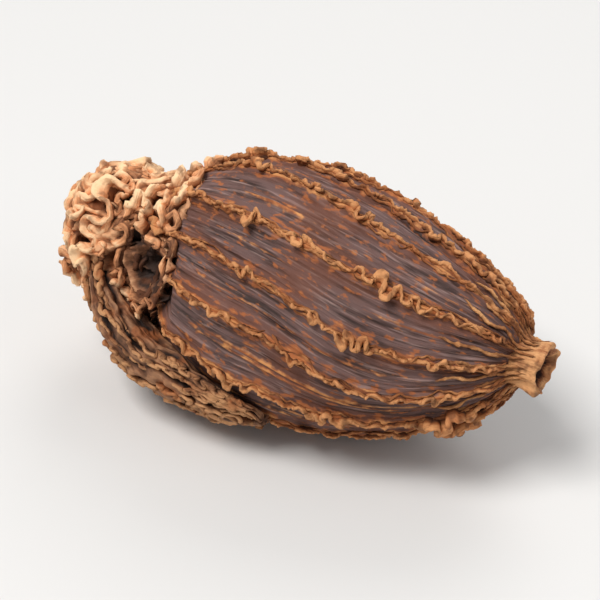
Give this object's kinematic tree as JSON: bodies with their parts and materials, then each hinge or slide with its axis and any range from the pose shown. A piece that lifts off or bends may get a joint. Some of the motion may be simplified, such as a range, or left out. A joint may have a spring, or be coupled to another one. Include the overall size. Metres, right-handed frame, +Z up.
{
  "type": "black cardamom pod",
  "caption": "Dried black cardamom pod lying on its side: ribbed oval husk, curled remains of the flower at the crown and a flared stalk stub at the tip.",
  "frame": {"origin": "on the surface the pod lies on, under the middle of its box", "axes": "+X along the pod from the crown to the tip, +Z up, +Y to the left when looking along +X"},
  "size_m": [0.0344, 0.0178, 0.0169],
  "materials": {
    "husk": "matt, dark grey-brown between the ribs and rust-brown on their crests, finely streaked along the pod",
    "dried_calyx": "matt, light rust-brown dried fibre, darker in its hollows",
    "dried_stalk": "matt, tan fibrous stub with a dark cupped end"
  },
  "bodies": {
    "root": {"husk": "husk", "calyx_tuft": "dried_calyx", "stalk_stub": "dried_stalk"}
  },
  "joints": []
}
